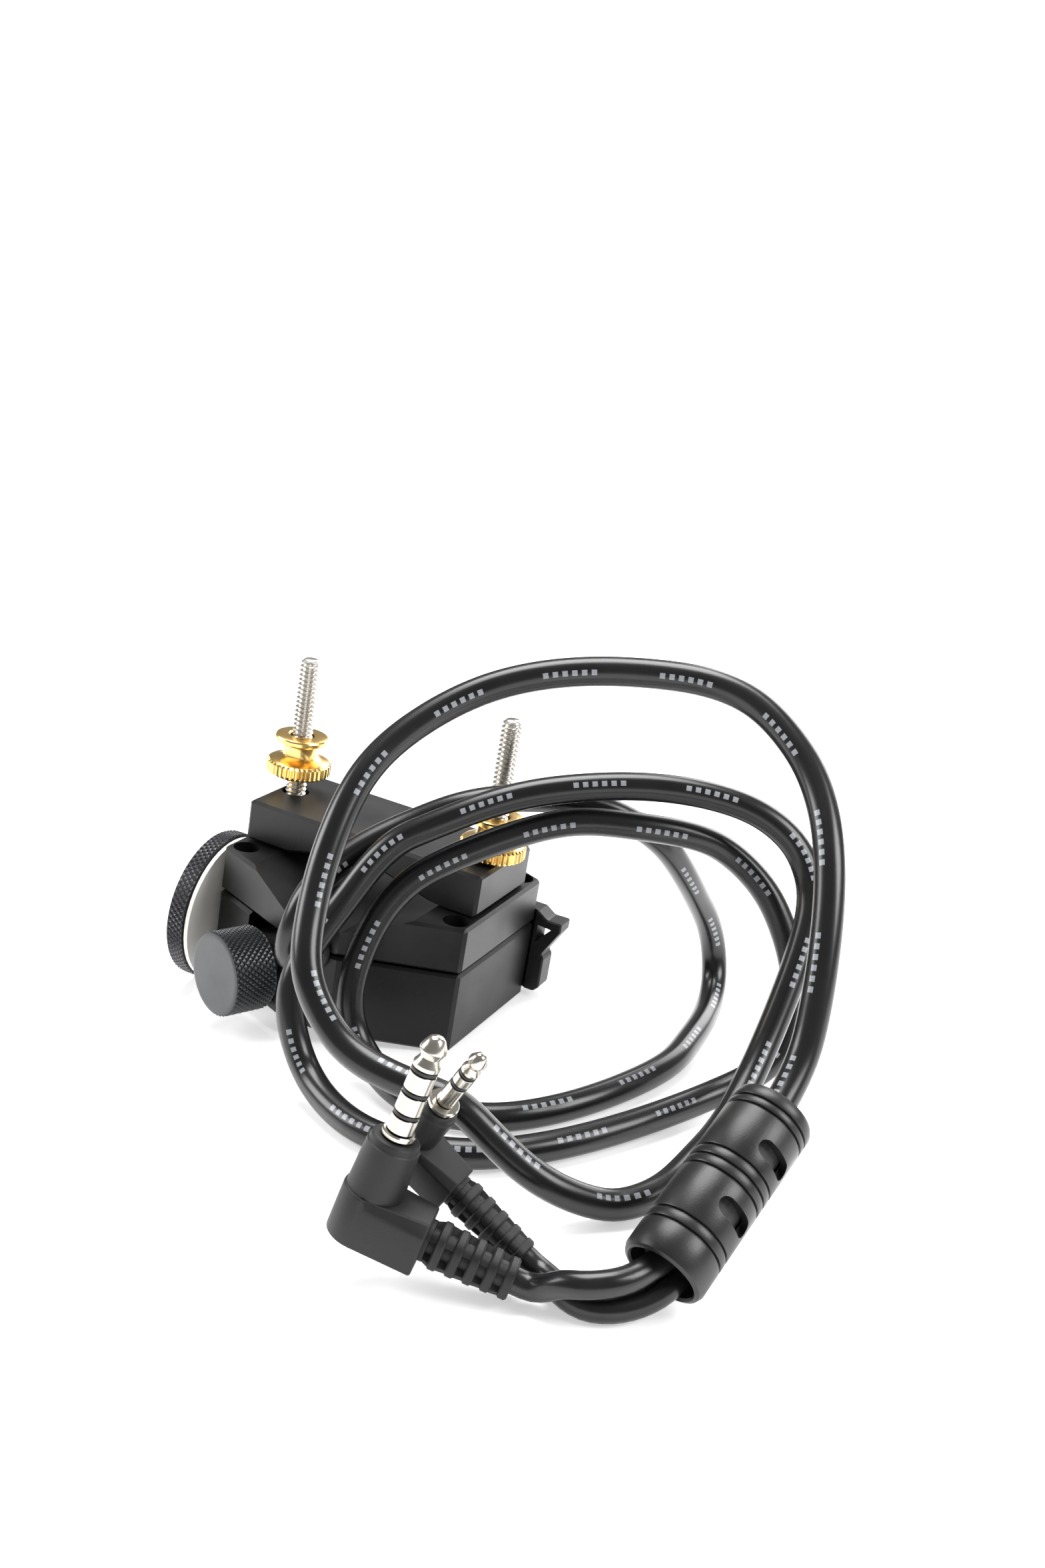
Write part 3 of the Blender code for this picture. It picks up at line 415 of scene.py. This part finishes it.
def smoothLine(route, step):
    knots = [Vector(point) for point in route]
    knots = [knots[0] * 2 - knots[1]] + knots + [knots[-1] * 2 - knots[-2]]
    fine = []
    for a, b, c, d in zip(knots, knots[1:], knots[2:], knots[3:]):
        times = [0.0]
        for start, end in ((a, b), (b, c), (c, d)):
            times.append(times[-1] + math.sqrt((end - start).length))
        for part in range(cableSettings["between"]):
            t = times[1] + (times[2] - times[1]) * part / cableSettings["between"]
            ab = a.lerp(b, (t - times[0]) / (times[1] - times[0]))
            bc = b.lerp(c, (t - times[1]) / (times[2] - times[1]))
            cd = c.lerp(d, (t - times[2]) / (times[3] - times[2]))
            abc = ab.lerp(bc, (t - times[0]) / (times[2] - times[0]))
            bcd = bc.lerp(cd, (t - times[1]) / (times[3] - times[1]))
            fine.append(abc.lerp(bcd, (t - times[1]) / (times[2] - times[1])))
    fine.append(knots[-2])
    for _ in range(cableSettings["eased"]):  # smooths out the listed points
        eased = [
            here * 0.5 + (before + after) * 0.25
            for before, here, after in zip(fine, fine[1:], fine[2:])
        ]
        fine = [fine[0]] + eased + [fine[-1]]
    lengths = [0.0]
    for start, end in zip(fine, fine[1:]):
        lengths.append(lengths[-1] + (end - start).length)
    count = round(lengths[-1] / step)
    points, at = [], 0
    for index in range(count + 1):
        wanted = lengths[-1] * index / count
        while at < len(fine) - 2 and lengths[at + 1] < wanted:
            at += 1
        share = (wanted - lengths[at]) / (lengths[at + 1] - lengths[at])
        points.append(fine[at].lerp(fine[at + 1], share))
    return points, lengths[-1]


def sweepTube(name, points, radius, roll):
    sides = cableSettings["sides"]
    last = len(points) - 1
    ways = [
        (points[min(i + 1, last)] - points[max(i - 1, 0)]).normalized() for i in range(last + 1)
    ]
    across = ways[0].orthogonal().normalized()
    across = Matrix.Rotation(roll, 3, ways[0]) @ across
    coords, faces, uvs = [], [], []
    for point, way in zip(points, ways):
        across = (across - way * across.dot(way)).normalized()
        other = way.cross(across)
        for side in range(sides):
            angle = 2 * math.pi * side / sides
            coords.append(point + (across * math.cos(angle) + other * math.sin(angle)) * radius)
    for i in range(last):
        ring, nextRing = i * sides, (i + 1) * sides
        for side in range(sides):
            after = (side + 1) % sides
            faces.append((ring + side, ring + after, nextRing + after, nextRing + side))
            v0 = (side / sides + 0.5) % 1
            v1 = v0 + 1 / sides
            uvs += [(i / last, v0), (i / last, v1), ((i + 1) / last, v1), ((i + 1) / last, v0)]
    for ring, order in ((0, -1), (last, 1)):
        cap = [ring * sides + side for side in range(sides)][::order]
        faces.append(cap)
        uvs += [(ring / last, 0.0)] * sides
    mesh = bpy.data.meshes.new(name)
    mesh.from_pydata(coords, [], faces)
    layer = mesh.uv_layers.new(name="UVMap")
    for loop, uv in zip(layer.data, uvs):
        loop.uv = uv
    obj = bpy.data.objects.new(name, mesh)
    bpy.context.scene.collection.objects.link(obj)
    return obj


def addCables():
    made = {}
    for name, route, width in (
        ("main_cable_jacket", cableRoute, cableSettings["diameter"]),
        ("lead_35_jacket", lead35Route, cableSettings["leadDiameter"]),
        ("lead_25_jacket", lead25Route, cableSettings["leadDiameter"]),
    ):
        points, length = smoothLine(route, cableSettings["step"])
        tube = sweepTube(name, points, width / 2, cableSettings["roll"])
        putDown(tube, Matrix(), "housing", "pvc_black", name.replace("_jacket", ""), angle=40)
        made[name] = (tube, points, length)
        print(name, "length", round(length, 4))
    tube, points, length = made["main_cable_jacket"]
    tube.data.materials[0] = printedJacket("printedJacket", length)
    return made


# knurled wheel, knob and nuts

wheelSettings = {
    "radius": 13.0, "thick": 3.2, "inner": 2.5, "around": 164, "rows": 5, "depth": 0.3,
}
knobSettings = {
    "radius": 7.0, "thick": 7.6, "inner": 1.1, "around": 88, "rows": 13, "depth": 0.3,
}
knurlSettings = {
    "bore": 1.8, "boreStops": 1.2, "edge": 0.55, "corner": 0.25, "rise": 0.12, "margin": 0.35,
}
nutSettings = {
    "grooves": 38, "depth": 0.28, "radius": 5.5, "grooveRows": (0.45, 0.9, 1.4, 1.8, 2.1),
    "foot": ((2.05, 0.25), (2.3, 0.0), (4.7, 0.0), (5.05, 0.12)),
    "waist": (
        (5.1, 2.42), (4.6, 2.66), (3.9, 2.85), (3.3, 3.05), (2.95, 3.4), (2.85, 3.8),
        (2.85, 5.1), (3.0, 5.4), (3.4, 5.58), (4.15, 5.72), (4.4, 5.85), (4.5, 6.0),
    ),
    "top": ((4.5, 6.55), (4.35, 6.8), (4.05, 6.92), (2.75, 7.0), (2.3, 7.0)),
    "bore": ((2.05, 6.8), (2.05, 3.5), (2.05, 0.25)),
}


def addKnurled(name, settings, place, body, slot, node):
    radius, inner, thick = settings["radius"], settings["inner"], settings["thick"]
    bore, edge, corner = (knurlSettings[key] for key in ("bore", "edge", "corner"))
    outer = inner + thick
    low, high = inner + knurlSettings["margin"], outer - knurlSettings["margin"]
    rows = plain([
        (bore, outer - knurlSettings["boreStops"]), (bore, inner), (radius - edge, inner),
        (radius - corner, inner + knurlSettings["rise"]),
    ])
    for row in range(settings["rows"]):
        height = low + (high - low) * row / (settings["rows"] - 1)
        rows.append((radius * mm, height * mm, row))
    rows += plain([
        (radius - corner, outer - knurlSettings["rise"]), (radius - edge, outer),
        (radius - 2 * edge, outer), (radius * 0.3, outer),
    ])

    def diamond(size, height, kind, step):
        if kind == "plain":
            return size
        return size if (kind + step) % 2 else size - settings["depth"] * mm

    obj = rollSheet(name, rows, settings["around"], diamond, facets=True)
    return putDown(obj, place, body, slot, node, angle=22)


def addNut(name, place, body, node):
    rows = plain(nutSettings["foot"])
    for height in nutSettings["grooveRows"]:
        rows.append((nutSettings["radius"] * mm, height * mm, "groove"))
    rows += plain(nutSettings["waist"] + nutSettings["top"] + nutSettings["bore"])

    def groove(size, height, kind, step):
        if kind == "groove" and step % 4 in (0, 3):
            return size - nutSettings["depth"] * mm
        return size

    obj = rollSheet(name, rows, nutSettings["grooves"] * 4, groove, ring=True)
    return putDown(obj, place, body, "brass", node, angle=30)


# threaded studs

studSettings = {
    "radius": 1.75, "root": 1.33, "pitch": 0.794, "top": 53.0, "base": 15.7, "around": 24,
    "rowsPerTurn": 6, "head": 2.4, "headHeight": 1.7, "core": 1.2,
    "crest": 1.35, "slope": 3.4, "tip": 0.85,
}


def addStud(name, place, node):
    low, top, pitch = studSettings["base"], studSettings["top"], studSettings["pitch"]
    head, foot = studSettings["head"], low - studSettings["headHeight"]
    rows = plain([(studSettings["core"], foot), (head, foot), (head, low)])
    count = round((top - low) / pitch * studSettings["rowsPerTurn"])
    for row in range(count + 1):
        height = low + (top - low) * row / count
        rows.append((studSettings["radius"] * mm, height * mm, "thread"))

    def thread(size, height, kind, step):
        if kind == "plain":
            return size
        turn = (height / mm / pitch - step / studSettings["around"]) % 1
        crest = studSettings["crest"] - abs(turn - 0.5) * studSettings["slope"]
        root = studSettings["root"] * mm
        tip = root * studSettings["tip"] + (top * mm - height)  # chamfered end
        return min(root + (size - root) * min(1, max(0, crest)), tip)

    obj = rollSheet(name, rows, studSettings["around"], thread)
    return putDown(obj, place, "housing", "stainless", node, angle=50)


# noise filter

filterSettings = {
    "bottom": (0.0777, -0.0592, 0.0055), "top": (0.0835, -0.0355, 0.0185),
    "radius": 5.7, "inside": 4.6, "facing": (0.86, -0.39, 0.33),
    "grooves": (0.166, 0.222, 0.49, 0.545, 0.60, 0.875, 0.92), "grooveDepth": 0.34,
    "slots": (0.37, 0.715), "slotSize": (2.6, 6.2, 2.5), "slotAt": 5.2, "slotCorner": 1.15,
}


def addFilter():
    bottom, top = Vector(filterSettings["bottom"]), Vector(filterSettings["top"])
    length = (top - bottom).length / mm
    radius, inside = filterSettings["radius"], filterSettings["inside"]
    deep = radius - filterSettings["grooveDepth"]
    rows = [
        (inside, length - 2), (inside, 0.35), (inside + 0.25, 0), (radius - 0.8, 0),
        (radius - 0.3, 0.25), (radius, 0.9),
    ]
    for share in filterSettings["grooves"]:
        at = share * length
        rows += [
            (radius, at - 0.34), (radius - 0.05, at - 0.2), (deep, at - 0.1),
            (deep, at + 0.1), (radius - 0.05, at + 0.2), (radius, at + 0.34),
        ]
    rows += [
        (radius, length - 0.9), (radius - 0.3, length - 0.25), (radius - 0.9, length),
        (2.6, length),
    ]
    sleeve = rollSheet("ferrite_sleeve_shell", plain(rows), 72)
    for share in filterSettings["slots"]:
        bpy.ops.mesh.primitive_cube_add(
            size=1, location=(filterSettings["slotAt"] * mm, 0, share * length * mm),
            scale=[size * mm for size in filterSettings["slotSize"]],
        )
        cutter = bpy.context.object
        bpy.ops.object.transform_apply(location=False, rotation=False, scale=True)
        corner = filterSettings["slotCorner"]
        bevelWhere(cutter, lambda a, b: abs(a.x - b.x) > 1, corner, 5)
        joinOrCut(sleeve, cutter, "DIFFERENCE")
    place = framed(bottom, top - bottom, filterSettings["facing"])
    return putDown(sleeve, place, "housing", "filter_plastic", "ferrite_sleeve", angle=30)


# plugs

plugSides = 56
mouldingSettings = {  # the first two are shares of the half width, the last is in mm
    "elbowRound": 0.96, "topSlope": 0.34, "edgeRound": 0.4,
}
reliefSettings = {
    "ribs": 5, "sides": 72, "taper": 0.035, "root": -1.0, "core": 1.8, "webAngle": 30,
}
plug35 = {
    "elbow": (0.0427, -0.0708, 0.0093), "pin": (0.271, 0.158, 0.95),
    "arm": (0.927, 0.222, -0.302), "half": 4.0, "height": 6.8, "armLength": 8.2,
    "barrelTop": 11.0, "rim": 3.4, "relief": 2.85, "reliefLength": 11.6,
    "collar": 2.2, "pinRadius": 1.75,
    "bands": (
        ("sleeve", 2.0), ("insulator", 0.45), ("ring", 2.3), ("insulator", 0.45),
        ("ring", 2.3), ("insulator", 0.45), ("tip", 4.4),
    ),
}
plug25 = {
    "elbow": (0.0433, -0.0610, 0.0142), "pin": (0.544, -0.139, 0.828),
    "arm": (0.836, 0.004, -0.549), "half": 2.8, "height": 5.4, "armLength": 8.2,
    "barrelTop": 9.0, "rim": 2.6, "relief": 2.3, "reliefLength": 11.6,
    "collar": 2.1, "pinRadius": 1.25,
    "bands": (
        ("sleeve", 3.6), ("insulator", 0.4), ("ring", 1.5), ("insulator", 0.4), ("tip", 3.4),
    ),
}


def addPlugBody(prefix, plug, place):
    half, height, arm = plug["half"], plug["height"], plug["armLength"]
    bpy.ops.mesh.primitive_cube_add(
        size=1, location=((arm - half) / 2 * mm, 0, 0),
        scale=((arm + half) * mm, 2 * half * mm, height * mm),
    )
    body = bpy.context.object
    body.name = prefix + "_moulding"
    bpy.ops.object.transform_apply(location=True, rotation=False, scale=True)

    def backEdge(a, b):
        return a.x < 0 and b.x < 0 and abs(a.z - b.z) > 1

    def topEdge(a, b):
        return abs(a.x - b.x) > 1 and a.z > 0 and b.z > 0

    bevelWhere(body, backEdge, half * mouldingSettings["elbowRound"], 10)
    bevelWhere(body, topEdge, half * mouldingSettings["topSlope"], 1)
    useModifier(
        body, "BEVEL", width=mouldingSettings["edgeRound"] * mm, segments=3,
        limit_method="ANGLE", angle_limit=math.radians(25),
    )
    top, rim = plug["barrelTop"], plug["rim"]
    rows = plain([
        (half * 0.5, -height * 0.2), (half - 0.12, -height * 0.2), (half - 0.12, 0.5),
        (rim + 0.05, top - 1.1), (rim - 0.12, top - 0.95), (rim - 0.16, top - 0.75),
        (rim - 0.22, top - 0.3), (rim - 0.4, top - 0.08), (rim - 0.65, top), (rim * 0.4, top),
    ])
    barrel = rollSheet(prefix + "_barrel", rows, plugSides)
    joinOrCut(body, barrel, "UNION")
    return putDown(body, place, "housing", "plug_black", prefix + "_body", angle=28)


def addRelief(prefix, plug, place):
    ribs, sides, root = (reliefSettings[key] for key in ("ribs", "sides", "root"))
    radius, length = plug["relief"], plug["reliefLength"]
    pitch = length / ribs
    outline = [  # radius, height, kind; it starts inside the arm
        (1.0, root, "plain"), (radius * 0.86, root, "rib"), (radius * 0.86, 0.2, "rib"),
        (radius * 0.9, 0.25, "gap"),
    ]
    for rib in range(ribs):
        base, size = rib * pitch, radius * (1 - reliefSettings["taper"] * rib)
        outline += [
            (size, base + pitch * 0.44, "gap"), (size - 0.22, base + pitch * 0.45, "rib"),
            (size, base + pitch * 0.55, "rib"), (size, base + pitch * 0.88, "rib"),
            (size - 0.22, base + pitch * 0.99, "rib"),
        ]
        if rib < ribs - 1:
            outline.append((size, base + pitch, "gap"))
    outline += [(1.9, length, "plain"), (1.0, length, "plain")]
    rows = [(size * mm, height * mm, kind) for size, height, kind in outline]

    def ribbed(size, height, kind, step):
        if kind == "plain":
            return size
        angle = 2 * math.pi * step / sides
        square = (abs(math.cos(angle)) ** 3 + abs(math.sin(angle)) ** 3) ** (-1 / 3)
        offAxis = abs((math.degrees(angle) + 45) % 90 - 45)
        if kind == "rib":
            return size * square
        if offAxis < reliefSettings["webAngle"]:
            return reliefSettings["core"] * mm
        return size * square * 0.93

    relief = rollSheet(prefix + "_strain_relief", rows, sides, ribbed)
    return putDown(relief, place, "housing", "plug_black", prefix + "_relief", angle=30)


def addContacts(prefix, plug, place):
    start = plug["barrelTop"] + 0.3
    radius = plug["collar"]
    rows = plain([
        (0.8, start), (radius, start), (radius, start + 0.42), (radius - 0.18, start + 0.6),
        (0.8, start + 0.6),
    ])
    disc = rollSheet(prefix + "_collar_disc", rows, plugSides)
    made = [putDown(disc, place, "housing", "nickel", prefix + "_collar")]
    at = start + 0.75
    for index, (kind, length) in enumerate(plug["bands"]):
        node = f"{prefix}_{kind}" if kind in ("tip", "sleeve") else f"{prefix}_{kind}_{index}"
        wide = plug["pinRadius"] - (0.05 if kind == "insulator" else 0)
        end = at + length
        rows = [(0.4, at), (wide - 0.04, at), (wide, at + 0.05)]
        if kind == "tip":  # waist, shoulder and rounded point
            rows += [
                (wide, at + length * 0.12), (wide * 0.8, at + length * 0.26),
                (wide * 0.72, at + length * 0.34), (wide * 0.8, at + length * 0.42),
                (wide, at + length * 0.56), (wide * 0.98, at + length * 0.64),
                (wide * 0.62, end - length * 0.1), (wide * 0.42, end - length * 0.03),
                (wide * 0.2, end),
            ]
        else:
            rows += [(wide, end - 0.05), (wide - 0.04, end), (0.4, end)]
        slot = "ring_black" if kind == "insulator" else "nickel"
        piece = rollSheet(node + "_band", plain(rows), plugSides)
        made.append(putDown(piece, place, "housing", slot, node, angle=24))
        at += length + 0.15
    return made


def addPlug(prefix, plug):
    pin = Vector(plug["pin"]).normalized()
    arm = Vector(plug["arm"])
    arm = (arm - pin * arm.dot(pin)).normalized()
    elbow = Vector(plug["elbow"])
    place = framed(elbow, pin, arm)
    armPlace = framed(elbow + arm * (plug["armLength"] + 0.3) * mm, arm, pin)
    body = addPlugBody(prefix, plug, place)
    relief = addRelief(prefix, plug, armPlace)
    return [body, relief] + addContacts(prefix, plug, place)


# everything in its place

layout = {  # in the housing's own frame
    "focusAxis": (-0.023, -0.0076, 0.0078), "slopeStart": (-0.023, -0.014, 0),
    "slopeEnd": (-0.005, -0.022, 0), "irisAlong": 0.0142, "irisUp": 0.0064,
    "studOut": 0.019, "bridgeTop": 0.0293, "leftNutLift": 0.0034, "rightNutLift": 0.0003,
}

setCamera()
setLights()
setFloor()
print("camera, lights and floor ready")

cables = addCables()
print("cables laid")

focusPlace = housingPlace @ framed(layout["focusAxis"], (-1, 0, 0))
edge = Vector(layout["slopeStart"])
slope = (Vector(layout["slopeEnd"]) - edge).normalized()
irisAt = edge + slope * layout["irisAlong"] + Vector((0, 0, layout["irisUp"]))
irisPlace = housingPlace @ framed(irisAt, (slope.y, -slope.x, 0))
addKnurled(
    "focus_wheel_knurled", wheelSettings, focusPlace, "focus_wheel", "knurled_black",
    "focus_wheel",
)
addKnurled(
    "iris_knob_knurled", knobSettings, irisPlace, "iris_knob", "knob_black", "iris_knob"
)
for side, name in ((-1, "left"), (1, "right")):
    lift = layout[name + "NutLift"]
    at = housingPlace @ Matrix.Translation((side * layout["studOut"], 0, 0))
    addStud("threaded_stud_" + name, at, "stud_" + name)
    nutPlace = at @ Matrix.Translation((0, 0, layout["bridgeTop"] + lift))
    addNut("brass_nut_" + name, nutPlace, "thumb_nut_" + name, "thumb_nut_" + name)
print("wheel, knob, studs and nuts ready")

sleeve = addFilter()
plugPieces = {"35": addPlug("plug_35", plug35), "25": addPlug("plug_25", plug25)}
print("filter and plugs ready")

keptNodes = {  # pieces whose drawn shape stays, and their finish
    "black_plastic": ("lower_housing", "cable_hook"),
    # the upper housing gets a lighter copy of the black plastic: painted light
    "black_plastic_top": ("upper_housing",),
    # the clamp bridge gets a lighter copy of the black plastic: painted highlight
    "bridge_plastic": ("clamp_bridge",),
    "marking_white": ("marking_disc",),
    "rubber": ("cable_gland",),
    "board": ("circuit_board",),
    "ferrite": ("ferrite_core",),
    "pot_body": ("focus_pot", "iris_pot"),
    "shaft_steel": ("focus_shaft", "iris_shaft"),
    "dark_screw": [f"housing_screw_{number}" for number in (1, 2, 3, 4)],
}
for slot, names in keptNodes.items():
    for name in names:
        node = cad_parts[name]
        for index in range(len(node.data.materials)):
            node.data.materials[index] = looks[slot]
